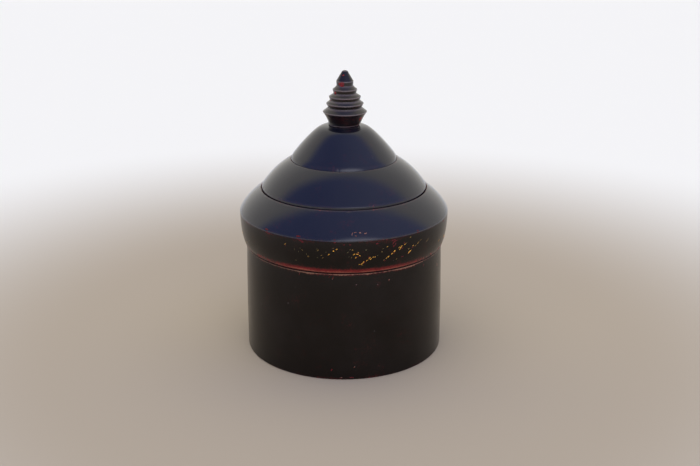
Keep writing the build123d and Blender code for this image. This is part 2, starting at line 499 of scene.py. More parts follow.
# The gold left on the front of the band
FRONT_GOLD = mark_list(
    (-31.4, 103.5, 1.3, 0.6, 55, 0.6), (-30.9, 104.2, 1.0, 0.5, 20, 0.3),
    (-25.8, 100.9, 1.3, 0.4, 85, 0.1), (-23.6, 99.5, 1.2, 0.4, 60, 0.05),
    (-22.6, 102.5, 1.0, 0.5, 80, 0.2), (-21.4, 101.2, 1.2, 0.5, 120, 0.35),
    (-19.2, 98.6, 1.0, 0.4, 100, 0.15), (-18.4, 96.9, 1.1, 0.6, 110, 0.4),
    (-25.4, 92.4, 1.3, 0.5, 10, 0.05), (-13.6, 103.2, 1.2, 0.4, 10, 0.2),
    (-12.9, 102.4, 1.1, 0.5, 70, 0.35), (-13.3, 101.8, 1.0, 0.4, 10, 0.3),
    (-11.2, 98.6, 1.2, 0.5, 20, 0.45), (-10.6, 96.7, 1.2, 0.5, 60, 0.45),
    (-13.4, 96.6, 1.0, 0.4, 30, 0.1), (-8.8, 101.2, 0.9, 0.4, 50, 0.15),
    (-7.4, 99.5, 1.8, 0.6, 36, 0.75), (-5.0, 102.2, 1.2, 0.9, 40, 0.95),
    (-3.4, 103.7, 1.2, 0.8, 25, 0.9), (-5.2, 104.4, 1.4, 0.4, 5, 0.35),
    (2.2, 101.3, 1.4, 0.5, 45, 0.25), (4.6, 103.1, 1.2, 0.6, -10, 0.5),
    (3.4, 103.4, 1.2, 0.4, 25, 0.3), (5.4, 99.6, 1.6, 0.7, 30, 1.0),
    (7.0, 99.8, 1.9, 0.7, -12, 1.05), (8.4, 98.5, 1.1, 0.7, -40, 0.95),
    (7.6, 101.0, 1.1, 0.5, 10, 0.6), (6.4, 97.1, 1.3, 0.9, 20, 0.75),
    (4.2, 97.3, 1.3, 0.5, 45, 0.3), (2.8, 97.9, 1.0, 0.4, 60, 0.1),
    (11.6, 102.6, 1.1, 1.0, 0, 0.12), (8.2, 91.4, 1.2, 0.5, 25, 0.6),
    (9.6, 92.0, 2.0, 0.6, 32, 0.85), (10.4, 93.3, 1.1, 0.9, 20, 0.95),
    (9.8, 91.0, 1.2, 0.4, -40, 0.6), (12.2, 94.4, 1.6, 0.6, 38, 0.8),
    (13.6, 96.3, 1.8, 0.6, 36, 0.9), (14.2, 95.3, 1.8, 0.6, 38, 1.0),
    (15.4, 96.6, 1.3, 0.6, 30, 0.8), (16.4, 96.6, 1.1, 0.7, 20, 0.6),
    (17.8, 97.6, 1.1, 0.5, 50, 0.1), (20.0, 100.1, 1.1, 0.7, 60, 0.35),
    (20.6, 102.4, 1.3, 0.5, 40, 0.25), (23.0, 103.5, 1.3, 0.7, 20, 0.5),
    (21.4, 93.6, 1.3, 0.5, 40, 0.35), (22.8, 94.6, 1.3, 0.7, 40, 0.55),
    (23.8, 95.6, 1.8, 0.9, 42, 0.75), (25.8, 97.4, 1.6, 0.8, 42, 0.7),
    (27.2, 99.1, 2.0, 0.9, 42, 1.1), (28.8, 92.4, 1.3, 0.5, 60, 0.35),
    (30.0, 101.4, 1.9, 0.5, 42, 0.8), (30.6, 100.2, 2.4, 0.6, 42, 0.95),
    (31.2, 101.7, 2.4, 0.6, 42, 0.9), (33.4, 102.8, 1.4, 0.6, 38, 0.8),
    (34.2, 103.4, 1.2, 0.4, 38, 0.5), (36.8, 95.9, 3.2, 1.0, 42, 1.15),
    (37.4, 96.4, 2.1, 0.6, 42, 1.0), (36.2, 98.4, 1.4, 0.6, 30, 0.45),
    (39.0, 100.1, 1.3, 0.9, 40, 0.75), (36.8, 107.2, 1.1, 0.7, 10, 0.4),
    (40.8, 99.7, 2.1, 0.4, 40, 0.45), (42.6, 101.2, 2.6, 0.5, 40, 0.55),
    (44.4, 102.6, 1.4, 0.4, 38, 0.35), (49.8, 100.1, 2.6, 0.5, 46, 0.3),
    (50.8, 101.4, 1.1, 0.4, 50, 0.25),
)

# The red bared beside it
FRONT_RED = mark_list(
    (7.4, 100.5, 2.0, 0.7, -10), (6.8, 97.4, 1.6, 0.7, 20), (10.6, 92.4, 1.8, 0.7, 35),
    (13.2, 96.9, 1.8, 0.6, 40), (27.0, 97.8, 2.0, 0.7, 40), (31.9, 100.3, 2.6, 0.9, 42),
    (33.0, 104.0, 1.6, 0.5, 30), (36.4, 94.9, 2.0, 0.6, 40), (38.6, 98.9, 1.6, 0.6, 30),
    (32.4, 93.4, 1.8, 0.9, -10), (22.0, 92.8, 1.6, 0.6, 40), (26.4, 103.0, 1.6, 0.8, 80),
)

# Chips in the band, most of them along its upper edge
BAND_CHIPS = mark_list(
    (26.4, 107.7, 3.8, 1.0, 12), (27.4, 106.7, 4.0, 1.0, 15), (26.4, 105.6, 2.8, 1.0, 50),
    (27.6, 104.6, 2.2, 0.9, 70), (26.8, 103.3, 1.6, 0.8, 75), (17.4, 106.8, 2.2, 1.2),
    (-4.4, 108.8, 2.2, 1.0), (0.4, 107.1, 1.3, 0.8), (3.4, 107.1, 1.5, 0.8),
    (-22.0, 108.0, 4.2, 1.6, -25), (42.2, 109.2, 3.2, 0.9), (-43.0, 108.9, 5.0, 1.5, -8),
    (68.6, 108.0, 3.0, 1.4), (-31.0, 102.6, 1.0, 0.6, 80),
)

# Chips just above the shoulder's edge
SHOULDER_CHIPS = mark_list(
    (-44.0, 110.9, 3.6, 1.1), (-23.6, 111.1, 3.4, 1.2), (-4.4, 110.7, 1.4, 0.6),
    (42.0, 110.8, 2.2, 0.6), (110, 110.9, 3.0, 1.0), (161, 110.8, 2.2, 0.8), (-97, 110.9, 4.0, 1.0),
    (-139, 110.9, 2.0, 0.9),
)

# Chips along the drum's rim and foot
DRUM_CHIPS = mark_list(
    (-6.6, 7.9, 1.8, 1.0, 60), (4.4, 1.7, 3.4, 1.0), (-24.8, 80.8, 1.6, 0.5, 70),
    (-5.6, 80.6, 1.7, 0.5, 80), (-7.8, 80.9, 1.2, 0.5, 60), (-13.8, 82.0, 1.6, 0.6, 30),
    (51.4, 79.5, 2.0, 0.7, 60), (121, 6.0, 2.0, 0.9, 20), (-150, 81.0, 2.2, 0.7, 40),
)

# Pale scars on the drum
DRUM_SCARS = mark_list(
    (6.0, 10.4, 1.2, 0.5, 40), (-1.2, 1.7, 1.6, 0.6), (-6.0, 79.4, 1.0, 0.4, 80),
    (25.8, 76.2, 1.5, 0.6, 60), (7.0, 75.1, 0.9, 0.5), (19.0, 73.9, 0.9, 0.5, 50),
    (69.2, 72.3, 2.4, 0.7, 80), (146, 44.0, 1.6, 0.5, 70), (-118, 61.0, 1.2, 0.5, 20),
)

# Pale scars on the lid's lowest tier
SHOULDER_SCARS = mark_list(
    (4.6, 114.2, 2.4, 0.5, 75), (6.2, 115.1, 2.2, 0.5, 8), (6.4, 113.1, 1.4, 0.4, -8),
    (8.8, 114.9, 1.6, 0.9), (11.6, 114.3, 2.0, 0.9, 10),
)

# The bared patch on the finial's bud, in strips narrow enough to lie on it, and chips below
FINIAL_CHIPS = mark_list(
    (-20, 207.8, 3.4, 1.0), (-24, 206.9, 5.0, 1.1), (-26, 206.0, 5.4, 1.1), (-22, 205.1, 4.2, 1.0),
    (-44, 206.5, 1.4, 0.7, 30), (-17, 212.6, 1.4, 1.9), (-56, 199.8, 2.8, 2.1),
    (-70, 194.2, 1.6, 1.0), (56, 180.6, 2.6, 3.6), (80, 176.8, 2.0, 1.6), (140, 205.0, 2.0, 1.6),
    (170, 186.2, 3.0, 1.2),
)


def gold_traces():
    """The gold left on the band, and the red bared beside some of it: the chosen places in front,
    and slanting rows that are scattered over the rest. Angles are in degrees, lengths in mm."""
    gold = list(FRONT_GOLD)
    red = list(FRONT_RED)
    chance = random.Random(TRACE_SEED)
    angle, last_angle = 58.0, 296
    step_across = 2.6
    highest = 105
    missing = 0.3                  # the share of the places where no gold is left
    much = 0.75                    # beside this much gold the red shows too
    while angle < last_angle:
        low = chance.uniform(89.5, 95.5)
        for step in range(chance.randint(2, 5)):
            height = low + step * chance.uniform(1.6, 3.2)
            place = angle + step * step_across
            if height > highest or chance.random() < missing:
                continue
            leaf = chance.uniform(0.1, 1.0)
            for stroke in range(chance.randint(1, 3)):
                gold.append(Mark(
                    place + stroke * 0.9, height + stroke * 0.3, chance.uniform(1.2, 3.0),
                    chance.uniform(0.4, 0.8), chance.uniform(34, 46), leaf))
            if leaf > much:
                red.append(Mark(place + 0.6, height - 0.9, chance.uniform(1.2, 2.2), 0.7, 38))
        angle += chance.uniform(4, 9)
    return gold, red


def outside_at(outline, height):
    """The radius of an outline's outside at a height, and the direction that it faces there."""
    found = None
    for _, here, onward in neighbours(outline):
        if min(here.y, onward.y) <= height < max(here.y, onward.y):
            share = (height - here.y) / (onward.y - here.y)
            radius = here.x + share * (onward.x - here.x)
            if found is None or radius > found[0]:
                found = radius, facing(here, onward)
    return found


def marks_piece(name, node, material, marks, shift=0.0):
    """One mesh of thin closed flakes that lie on the outside of a turned node. Only the finial's
    are shifted, and they lie on its worn outline."""
    turning = bpy.context.scene.lacquer_box_turning
    outline = turned_outline(node)
    if shift:
        outline = necks_softened(refined([as_worn(point) for point in outline], turning))
    else:
        outline = refined(outline, turning)
    steps = 9
    ragged = 0.7                   # how far a flake's sides wander, as a share of half its width
    least_end = 0.03               # how square a flake's ends are
    sunk_rim = -0.3                # in thicknesses, where its sides and its underside lie
    sunk_back = -2
    made = bmesh.new()
    leaf_layer = made.verts.layers.float.new("leaf")

    def on_surface(mark, along, aside, proud):
        """The place along and aside of a mark's middle, standing that proud of the piece."""
        radius, out = outside_at(outline, mark.height)
        around = along * math.cos(mark.rise) - aside * math.sin(mark.rise)
        up = along * math.sin(mark.rise) + aside * math.cos(mark.rise)
        height = mark.height + up * out.x
        radius, out = outside_at(outline, height) or (radius, out)
        angle = mark.angle + around / radius
        place = Vector((radius * math.sin(angle), -radius * math.cos(angle), height))
        proud -= turning.unevenness * unevenness_at(place)
        place += proud * Vector((out.x * math.sin(angle), -out.x * math.cos(angle), out.y))
        place.x += set_aside(shift, height)
        return place

    for number, mark in enumerate(marks):
        rings = []
        for step in range(steps + 1):
            share = 2 * step / steps - 1
            along = share * mark.length / 2
            wander = Vector((number * 3.7, step * 0.45, 0.5))
            half = mark.width / 2 * math.sqrt(max(least_end, 1 - share ** 4))
            left = half * (1 + ragged * noise.noise(wander))
            right = half * (1 + ragged * noise.noise(wander + Vector((0, 0, 9.1))))
            middle = (left - right) / 2
            thick = turning.leaf_height
            ring = ((left, sunk_rim), (middle, 1), (-right, sunk_rim), (middle, sunk_back))
            rings.append([made.verts.new(on_surface(mark, along, aside, proud * thick))
                          for aside, proud in ring])
            for corner in rings[-1]:
                corner[leaf_layer] = mark.leaf
        made.faces.new(rings[0])
        made.faces.new(reversed(rings[-1]))
        for near, far in zip(rings, rings[1:]):
            for i in range(4):
                onward = (i + 1) % 4
                face = made.faces.new((near[i], far[i], far[onward], near[onward]))
                face.smooth = True
    bmesh.ops.recalc_face_normals(made, faces=made.faces)
    piece = scene_object(name, made, [material])
    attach(piece, frame["nodes"][node]["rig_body"])
    return piece


# Shader nodes

VALUE = "NodeSocketFloat"
COLOUR = "NodeSocketColor"


def wire(tree, sockets, values):
    """Sets sockets by their names or numbers, or links them where the value is a socket."""
    for key, value in values.items():
        if isinstance(value, bpy.types.NodeSocket):
            tree.links.new(value, sockets[key])
        else:
            sockets[key].default_value = value


def add_node(tree, kind, inputs=None, **settings):
    """A new node. inputs holds values or sockets by the input's name or number."""
    made = tree.nodes.new(kind)
    for name, value in settings.items():
        setattr(made, name, value)
    wire(tree, made.inputs, inputs or {})
    return made


def maths(tree, operation, first, second=0.5, clamp=False):
    """A sum, product or the like of two values or sockets."""
    return add_node(tree, "ShaderNodeMath", {0: first, 1: second}, operation=operation,
                    use_clamp=clamp).outputs[0]


def times(tree, value, share):
    """A share of a value."""
    return maths(tree, "MULTIPLY", value, share)


def weighted_sum(tree, first, first_share, second, second_share):
    """A share of one value and a share of another, added up."""
    return maths(tree, "ADD", times(tree, first, first_share), times(tree, second, second_share))


def largest(tree, value, *others):
    """The largest of some values."""
    for other in others:
        value = maths(tree, "MAXIMUM", value, other)
    return value


def vector_maths(tree, operation, *inputs):
    """A sum, product or the like of vectors. A length or a dot product is a plain value."""
    made = add_node(tree, "ShaderNodeVectorMath", dict(enumerate(inputs)), operation=operation)
    return made.outputs["Value" if operation in ("DOT_PRODUCT", "LENGTH") else "Vector"]


def ramp(tree, value, low, high, to_low=0.0, to_high=1.0):
    """A smooth climb from one value to another as a socket goes from low to high."""
    return add_node(
        tree, "ShaderNodeMapRange",
        {"Value": value, "From Min": low, "From Max": high, "To Min": to_low, "To Max": to_high},
        interpolation_type="SMOOTHSTEP").outputs["Result"]


def mix_colour(tree, share, first, second):
    """A share of the second colour over the first."""
    return add_node(tree, "ShaderNodeMix", {0: share, 6: first, 7: second},
                    data_type="RGBA").outputs[2]


def shaded(colour, share):
    """A colour made darker or brighter."""
    return tuple(share * part for part in colour[:3]) + (1,)


def place_on_piece(tree):
    """Where on its piece a point lies."""
    return add_node(tree, "ShaderNodeTexCoord").outputs["Object"]


def height_of(tree, vector):
    """The upward part of a vector."""
    return add_node(tree, "ShaderNodeSeparateXYZ", {0: vector}).outputs["Z"]


def speckle(tree, place, size, detail=3.0, roughness=0.55):
    """Noise with features of about that size."""
    made = add_node(tree, "ShaderNodeTexNoise", {
        "Vector": place, "Scale": 1 / size, "Detail": detail, "Roughness": roughness})
    return made.outputs["Fac"]


def new_group(name, inputs, outputs):
    """An empty shader node group with those sockets. Returns the tree and both ends."""
    tree = bpy.data.node_groups.new(name, "ShaderNodeTree")
    for label, kind, default in inputs:
        socket = tree.interface.new_socket(label, in_out="INPUT", socket_type=kind)
        if default is not None:
            socket.default_value = default
    for label, kind in outputs:
        tree.interface.new_socket(label, in_out="OUTPUT", socket_type=kind)
    return tree, tree.nodes.new("NodeGroupInput").outputs, tree.nodes.new("NodeGroupOutput").inputs


def rubbed_layers_group():
    """Black over red over ground: an edge rubs through to the red, its crest to the ground."""
    tree, given, result = new_group(
        "Rubbed Layers",
        [("Edge", VALUE, 0.0), ("Thinned", VALUE, 0.0), ("Rub", VALUE, 0.5),
         ("Deep Rub", VALUE, 0.2), ("Black", COLOUR, None), ("Red", COLOUR, None),
         ("Ground", COLOUR, None)],
        [("Colour", COLOUR), ("Bared", VALUE), ("Height", VALUE)])
    # From and to which sum of wear and noise each of these comes through
    tinted, red_bared, ground_bared = (0.88, 1.25), (1.16, 1.30), (1.30, 1.42)
    tint = 0.14                    # how much red shows through the black before it is bared
    place = place_on_piece(tree)
    fine = speckle(tree, place, 1.6 * MM, detail=4)
    broad = speckle(tree, place, 14 * MM, detail=2)
    ragged = weighted_sum(tree, fine, 0.9, broad, 0.7)
    rubbed = maths(tree, "ADD", times(tree, given["Edge"], given["Rub"]), given["Thinned"])
    through = maths(tree, "ADD", rubbed, ragged)
    deep = maths(tree, "ADD", times(tree, given["Edge"], given["Deep Rub"]), ragged)
    thin = ramp(tree, through, *tinted, to_high=tint)
    red = ramp(tree, through, *red_bared)
    ground = ramp(tree, deep, *ground_bared)
    colour = mix_colour(tree, thin, given["Black"], given["Red"])
    colour = mix_colour(tree, red, colour, given["Red"])
    colour = mix_colour(tree, ground, colour, given["Ground"])
    bared = largest(tree, red, ground)
    wire(tree, result, {
        "Colour": colour, "Bared": bared, "Height": maths(tree, "SUBTRACT", 0.0, bared)})
    return tree


def seam_wear_group():
    """Two rims that meet at a height: the upper one bared to its ground at the crest and to the red
    past it, the lower one bared to the wood, and shade painted in the gap between them. Each is
    worn most on one side."""
    tree, given, result = new_group(
        "Seam Wear",
        [("Seam Height", VALUE, 0.0)],
        [("Red", VALUE), ("Crest", VALUE), ("Lip", VALUE), ("Painted Gap Shade", VALUE)])
    gap_drop = 0.28 * MM           # how far below the seam the middle of the gap lies
    gap_half = 0.64 * MM           # half of its height
    gap_blur = 0.16 * MM
    sharpness = 0.2 * MM           # how far a worn band takes to begin
    wandering = 2.2 * MM           # how far its other end wanders
    place = place_on_piece(tree)
    level = vector_maths(tree, "NORMALIZE", vector_maths(tree, "MULTIPLY", place, (1, 1, 0)))
    up = maths(tree, "SUBTRACT", height_of(tree, place), given["Seam Height"])
    down = times(tree, up, -1.0)
    fine = speckle(tree, place, 1.3 * MM, detail=3)
    broad = speckle(tree, place, 15 * MM, detail=3)
    wander = times(tree, maths(tree, "ADD", fine, broad), wandering)

    def handled(side, spared, full, most, least=0.0):
        """How worn a rim is, by the cosine of the angle from its most worn side."""
        way = (math.sin(side), -math.cos(side), 0)
        return ramp(tree, vector_maths(tree, "DOT_PRODUCT", level, way), spared, full, least, most)

    def rubbed(away, start, solid, gone, share):
        """A worn band that starts, thins out and ends that many millimetres from the seam."""
        starts = ramp(tree, away, start * MM, start * MM + sharpness)
        ends = ramp(tree, maths(tree, "ADD", away, wander), solid * MM, gone * MM, 1.0, 0.0)
        return times(tree, times(tree, starts, ends), share)

    off_middle = maths(tree, "ABSOLUTE", maths(tree, "ADD", up, gap_drop))
    red_above = rubbed(up, start=0.4, solid=4.2, gone=6.6,
                       share=handled(BAND_SIDE, spared=0.62, full=0.97, most=0.8))
    red_below = rubbed(down, start=0.95, solid=3.8, gone=4.8,
                       share=handled(DRUM_SIDE, spared=0.7, full=0.95, most=0.35))
    crest = rubbed(up, start=0.4, solid=3.5, gone=4.0,
                   share=handled(BAND_SIDE, spared=0.6, full=1.02, most=0.68, least=0.12))
    lip = rubbed(down, start=0.95, solid=3.6, gone=4.0,
                 share=handled(DRUM_SIDE, spared=0.62, full=1.0, most=0.75, least=0.3))
    wire(tree, result, {
        "Red": largest(tree, red_above, red_below), "Crest": crest, "Lip": lip,
        "Painted Gap Shade": ramp(tree, off_middle, gap_half, gap_half + gap_blur, 1.0, 0.0)})
    return tree


def dust_group():
    """Dust and small scars: scattered pale specks, and a broad grey bloom."""
    tree, given, result = new_group(
        "Dust",
        [("Spacing", VALUE, 7 * MM), ("Share", VALUE, 0.3)],
        [("Specks", VALUE), ("Bloom", VALUE)])
    least_speck, most_speck = 0.02, 0.07   # as shares of the spacing
    blur = 0.015
    place = place_on_piece(tree)
    cells = add_node(tree, "ShaderNodeTexVoronoi", {
        "Vector": place, "Scale": maths(tree, "DIVIDE", 1.0, given["Spacing"]), "Randomness": 1.0})
    chance = add_node(tree, "ShaderNodeSeparateColor", {0: cells.outputs["Color"]}).outputs
    chosen = maths(tree, "LESS_THAN", chance[0], given["Share"])
    size = ramp(tree, chance[1], 0.0, 1.0, least_speck, most_speck)
    dot = ramp(tree, maths(tree, "SUBTRACT", size, cells.outputs["Distance"]), 0.0, blur)
    bloom = speckle(tree, place, 30 * MM, detail=4, roughness=0.6)
    wire(tree, result, {
        "Specks": maths(tree, "MULTIPLY", dot, chosen), "Bloom": ramp(tree, bloom, 0.4, 0.75)})
    return tree


def polish_group():
    """The surface of a hand-polished turning: its roughness and its small relief."""
    tree, given, result = new_group(
        "Polish",
        [("Smooth", VALUE, 0.15), ("Rough", VALUE, 0.3)],
        [("Roughness", VALUE), ("Height", VALUE)])
    place = place_on_piece(tree)
    flatness = 0.06                # how high the turning marks are, as a share of their length
    rings = speckle(tree, vector_maths(tree, "MULTIPLY", place, (flatness, flatness, 1)),
                    1.2 * MM, detail=3)
    grain = speckle(tree, place, 0.7 * MM, detail=3)
    patches = speckle(tree, place, 22 * MM, detail=4, roughness=0.65)
    roughness = add_node(tree, "ShaderNodeMapRange", {
        "Value": weighted_sum(tree, patches, 0.75, grain, 0.25), "From Min": 0.3, "From Max": 0.7,
        "To Min": given["Smooth"], "To Max": given["Rough"]}).outputs["Result"]
    wire(tree, result, {
        "Roughness": roughness, "Height": weighted_sum(tree, rings, 0.7, grain, 0.3)})
    return tree


def group_node(tree, name, build, inputs):
    """A node of a shared group, which is built the first time."""
    shared = bpy.data.node_groups.get(name) or build()
    return add_node(tree, "ShaderNodeGroup", inputs, node_tree=shared).outputs


def new_material(name, shader_inputs):
    """A material with a Principled shader whose plain sockets are set. Returns it with its tree and
    the shader's inputs."""
    material = bpy.data.materials.new(name)
    material.use_nodes = True
    tree = material.node_tree
    sockets = tree.nodes["Principled BSDF"].inputs
    wire(tree, sockets, shader_inputs)
    return material, tree, sockets


def attribute(tree, name):
    """A value kept on the mesh's points."""
    return add_node(tree, "ShaderNodeAttribute", attribute_name=name).outputs["Fac"]


def bump(tree, height, depth, normal=None):
    """A Bump node's normal: a height of 1 stands depth proud."""
    inputs = {"Height": height, "Distance": depth, "Strength": 1.0}
    if normal is not None:
        inputs["Normal"] = normal
    return add_node(tree, "ShaderNodeBump", inputs).outputs["Normal"]


def black_lacquer(name, finish):
    """Black lacquer over red, rubbed through at the edges and dulled by dust, with shade painted
    into its hollows and seams and a highlight painted on its edges and in its upward hollows.
    """
    lacquer = bpy.context.scene.lacquer_box_lacquer
    # The near-black red of the shade painted into hollows and seams
    painted_shade = (0.012, 0.003, 0.002, 1)
    dulling = 0.3                  # how much rougher a bared or dusty place, or one painted with shade, is
    speck_strength = 0.5
    polish_depth = 0.02 * MM
    coat_depth = 0.05 * MM
    face_down, face_up = (-0.1, -0.6), (-0.05, 0.2)
    material, tree, sockets = new_material(name, {
        "IOR": 1.5, "Specular IOR Level": finish.specular, "Specular Tint": finish.tint})
    upward = height_of(tree, add_node(tree, "ShaderNodeNewGeometry").outputs["Normal"])
    edge = attribute(tree, "edge_wear")
    hollow = attribute(tree, "crevice")
    layers = group_node(tree, "Rubbed Layers", rubbed_layers_group, {
        "Edge": edge, "Thinned": ramp(tree, upward, *face_down, to_high=finish.underside),
        "Rub": finish.rub, "Deep Rub": finish.deep_rub,
        "Black": finish.coat, "Red": lacquer.red, "Ground": lacquer.ground})
    dust = group_node(tree, "Dust", dust_group, {"Spacing": 7 * MM, "Share": finish.specks})
    polish = group_node(tree, "Polish", polish_group, {
        "Smooth": finish.smooth, "Rough": finish.rough})
    # Painted shade: hollows and seams are darkened towards a near-black red
    crevice = times(tree, ramp(tree, hollow, 0.1, 0.8), finish.painted_shade)
    # Pale from dust specks, from scuffed edges with a highlight painted on them, and from a dust
    # bloom
    pale = largest(tree, times(tree, dust["Specks"], speck_strength),
                   times(tree, ramp(tree, edge, 0.05, 0.5), finish.scuff_and_sheen),
                   times(tree, dust["Bloom"], finish.haze))
    # Dust resting in the upward hollows, which also paints a highlight there
    if finish.settled_dust_and_highlight:
        resting_dust_and_highlight = maths(tree, "MULTIPLY", hollow, ramp(tree, upward, *face_up))
        pale = largest(tree, pale, times(tree, resting_dust_and_highlight, finish.settled_dust_and_highlight))
    colour = mix_colour(tree, pale, layers["Colour"], lacquer.dust)
    dull = largest(tree, layers["Bared"], dust["Specks"])
    if finish.seam:
        seam = group_node(tree, "Seam Wear", seam_wear_group, {"Seam Height": finish.seam})
        colour = mix_colour(tree, seam["Red"], colour, lacquer.red)
        colour = mix_colour(tree, seam["Crest"], colour, lacquer.ground)
        colour = mix_colour(tree, seam["Lip"], colour, lacquer.wood)
        # The gap between the rims is painted with shade as well
        crevice = largest(tree, seam["Painted Gap Shade"], crevice)
        dull = largest(tree, dull, seam["Red"])
    dull = largest(tree, dull, crevice)
    roughness = maths(tree, "ADD", polish["Roughness"], times(tree, dull, dulling), clamp=True)
    if finish.seam:
        roughness = largest(tree, roughness, seam["Painted Gap Shade"])
    relief = bump(tree, polish["Height"], polish_depth)
    wire(tree, sockets, {
        "Base Color": mix_colour(tree, crevice, colour, painted_shade), "Roughness": roughness,
        "Normal": bump(tree, layers["Height"], coat_depth, relief)})
    return material


def red_lacquer(name):
    """Satin red lacquer inside the box, darker where it is patchy."""
    red = bpy.context.scene.lacquer_box_lacquer.red
    dark_speck = (0.02, 0.008, 0.007, 1)
    material, tree, sockets = new_material(name, {"IOR": 1.5})
    blotches = speckle(tree, place_on_piece(tree), 18 * MM, detail=5, roughness=0.6)
    colour = mix_colour(tree, ramp(tree, blotches, 0.35, 0.7), shaded(red, 0.45), shaded(red, 1.25))
    dust = group_node(tree, "Dust", dust_group, {"Spacing": 9 * MM, "Share": 0.35})
    polish = group_node(tree, "Polish", polish_group, {"Smooth": 0.28, "Rough": 0.48})
    wire(tree, sockets, {
        "Base Color": mix_colour(tree, times(tree, dust["Specks"], 0.6), colour, dark_speck),
        "Roughness": polish["Roughness"], "Normal": bump(tree, polish["Height"], 0.05 * MM)})
    return material


def bare_wood(name):
    """Bare wood with its grain upright."""
    wood = bpy.context.scene.lacquer_box_lacquer.wood
    material, tree, sockets = new_material(name, {"IOR": 1.45, "Specular IOR Level": 0.3})
    drawn_up = vector_maths(tree, "MULTIPLY", place_on_piece(tree), (1, 1, 0.08))
    grain = speckle(tree, drawn_up, 0.5 * MM, detail=5, roughness=0.6)
    wire(tree, sockets, {
        "Base Color": mix_colour(tree, ramp(tree, grain, 0.35, 0.65), shaded(wood, 0.45), wood),
        "Roughness": ramp(tree, grain, 0.3, 0.7, 0.75, 0.55),
        "Normal": bump(tree, grain, 0.08 * MM)})
    return material


def gold_leaf(name):
    """Rubbed gold leaf, bright where much of it is left and an olive stain where little is."""
    lacquer = bpy.context.scene.lacquer_box_lacquer
    material, tree, sockets = new_material(name, {"IOR": 1.5})
    grain = speckle(tree, place_on_piece(tree), 0.6 * MM, detail=3)
    leaf = maths(tree, "ADD", attribute(tree, "leaf"), times(tree, grain, 0.8))
    left = ramp(tree, leaf, 0.55, 1.35)
    wire(tree, sockets, {
        "Base Color": mix_colour(tree, left, lacquer.faint_gold, lacquer.gold),
        "Metallic": times(tree, left, 0.35),
        "Roughness": ramp(tree, grain, 0.3, 0.7, 0.36, 0.56)})
    return material


def chipped_red(name, brightness):
    """The red coat, bared in a small chip."""
    dark = shaded(bpy.context.scene.lacquer_box_lacquer.red, brightness)
    material, tree, sockets = new_material(name, {"IOR": 1.5, "Specular IOR Level": 0.3})
    grain = ramp(tree, speckle(tree, place_on_piece(tree), 0.9 * MM, detail=3), 0.35, 0.65)
    wire(tree, sockets, {
        "Base Color": mix_colour(tree, grain, dark, shaded(dark, 1.9)),
        "Roughness": ramp(tree, grain, 0.0, 1.0, 0.45, 0.6)})
    return material


def pale_scar(name):
    """A scratch that shows the chalky ground."""
    lacquer = bpy.context.scene.lacquer_box_lacquer
    material, tree, sockets = new_material(name, {"IOR": 1.5, "Specular IOR Level": 0.2})
    grain = ramp(tree, speckle(tree, place_on_piece(tree), 0.8 * MM, detail=3), 0.4, 0.62)
    wire(tree, sockets, {
        "Base Color": mix_colour(tree, grain, lacquer.ground, lacquer.dust),
        "Roughness": ramp(tree, grain, 0.0, 1.0, 0.5, 0.7)})
    return material


class Finish(NamedTuple):
    """How a black coat has aged, and the light and shade painted on it. rub and deep_rub bare the
    red and the ground at the edges, and underside bares the red below. smooth and rough bound its
    roughness. specks and haze are shares of dust, scuff_and_sheen is the share of pale on the edges
    from scuffs and a painted highlight, and painted_shade is the share of shade painted into
    hollows and seams. tint colours its shine. seam is the height where it meets another rim, and
    settled_dust_and_highlight is the dust that rests in its hollows with a highlight painted there."""
    coat: tuple
    specular: float
    rub: float
    deep_rub: float
    smooth: float
    rough: float
    specks: float
    scuff_and_sheen: float
    haze: float
    underside: float
    painted_shade: float
    tint: tuple = (1, 1, 1, 1)
    seam: float = 0.0
    settled_dust_and_highlight: float = 0.0


def shared_material(name, build, *values):
    """The material of that name, built the first time."""
    return bpy.data.materials.get(name) or build(name, *values)


def outside_black():
    """The drum's and the band's black, with shade painted into the gap where they meet."""
    coat = bpy.context.scene.lacquer_box_lacquer.black
    return shared_material("black_lacquer_drum", black_lacquer, Finish(
        coat, specular=0.28, rub=0.85, deep_rub=0.65, smooth=0.16, rough=0.28, specks=0.3,
        scuff_and_sheen=0.02, haze=0.02, underside=0.0, painted_shade=0.8, tint=(1, 0.93, 0.86, 1), seam=rim_height))


def lid_black():
    """The tiers' black, smoother and bluer than the drum's."""
    coat = bpy.context.scene.lacquer_box_lacquer.blue_black
    return shared_material("black_lacquer_lid", black_lacquer, Finish(
        coat, specular=0.5, rub=0.42, deep_rub=0.1, smooth=0.10, rough=0.20, specks=0.18,
        scuff_and_sheen=0.07, haze=0.01, underside=0.0, painted_shade=0.8))


def finial_black():
    """The finial's black, much handled, with a strong highlight painted on the edges of its rings
    and in its necks.
    """
    coat = bpy.context.scene.lacquer_box_lacquer.black
    return shared_material("black_lacquer_finial", black_lacquer, Finish(
        coat, specular=0.5, rub=0.26, deep_rub=0.1, smooth=0.18, rough=0.30, specks=0.1,
        scuff_and_sheen=0.62, haze=0.03, underside=0.22, painted_shade=0.1, tint=(1, 0.93, 0.9, 1), settled_dust_and_highlight=0.5))


def inside_red():
    """The red of every inner face."""
    return shared_material("red_lacquer_inside", red_lacquer)


INWARDS = -0.3                     # past this a face turns towards the axis
DOWNWARDS = -0.5                   # past this a face turns towards the floor


def faces_inwards(out):
    """True for the faces that line the box."""
    return out.x < INWARDS


def faces_down_or_in(out):
    """True for the faces inside or under a part of the lid."""
    return out.x < INWARDS or out.y < DOWNWARDS


def never_inner(_out):
    """False: the piece has one finish all over."""
    return False


# Pieces

